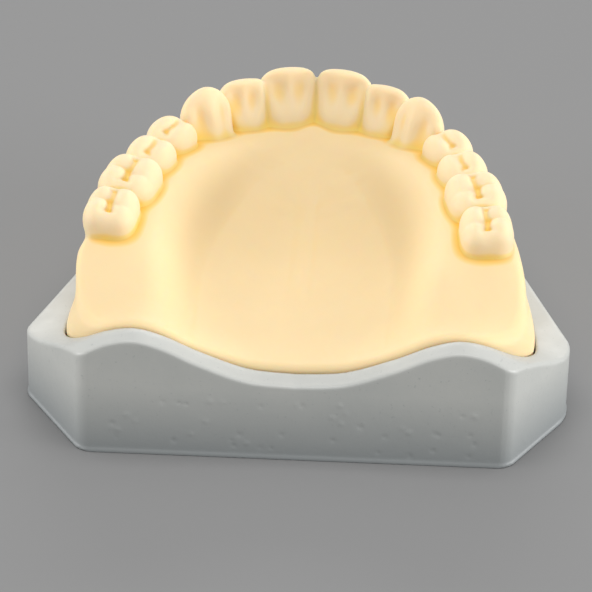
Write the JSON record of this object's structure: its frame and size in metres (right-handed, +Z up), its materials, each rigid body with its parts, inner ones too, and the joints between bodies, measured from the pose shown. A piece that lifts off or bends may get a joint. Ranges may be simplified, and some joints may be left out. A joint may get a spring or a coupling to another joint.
{
  "type": "dental study model",
  "caption": "Upper dental arch model: cream cast of palate, ridges and teeth that lifts out of a grey moulded base with a flat back and angled heels.",
  "frame": {"origin": "bottom centre of the base, where the model stands on the bench", "axes": "+Z up, +Y towards the front teeth, +X towards the wearer's left side (the right hand of someone who looks from the back edge)"},
  "size_m": [0.0808, 0.0762, 0.0289],
  "materials": {
    "base_rubber": "matt moulded silicone rubber, light warm grey, small bubbles and pits",
    "cast_resin": "cream casting resin, satin, slightly translucent",
    "tooth_resin": "cream casting resin, satin, slightly paler on the crowns"
  },
  "bodies": {
    "base": {"model_base": "base_rubber"},
    "arch": {"arch_cast": "cast_resin", "right_central_incisor": "tooth_resin", "right_lateral_incisor": "tooth_resin", "right_canine": "tooth_resin", "right_first_premolar": "tooth_resin", "right_second_premolar": "tooth_resin", "right_first_molar": "tooth_resin", "right_second_molar": "tooth_resin", "left_central_incisor": "tooth_resin", "left_lateral_incisor": "tooth_resin", "left_canine": "tooth_resin", "left_first_premolar": "tooth_resin", "left_second_premolar": "tooth_resin", "left_first_molar": "tooth_resin", "left_second_molar": "tooth_resin"}
  },
  "joints": [
    {"name": "arch_lift", "type": "slide", "parent": "base", "child": "arch", "axis": [0, 0, 1], "range_m": [0, 0.035]}
  ]
}
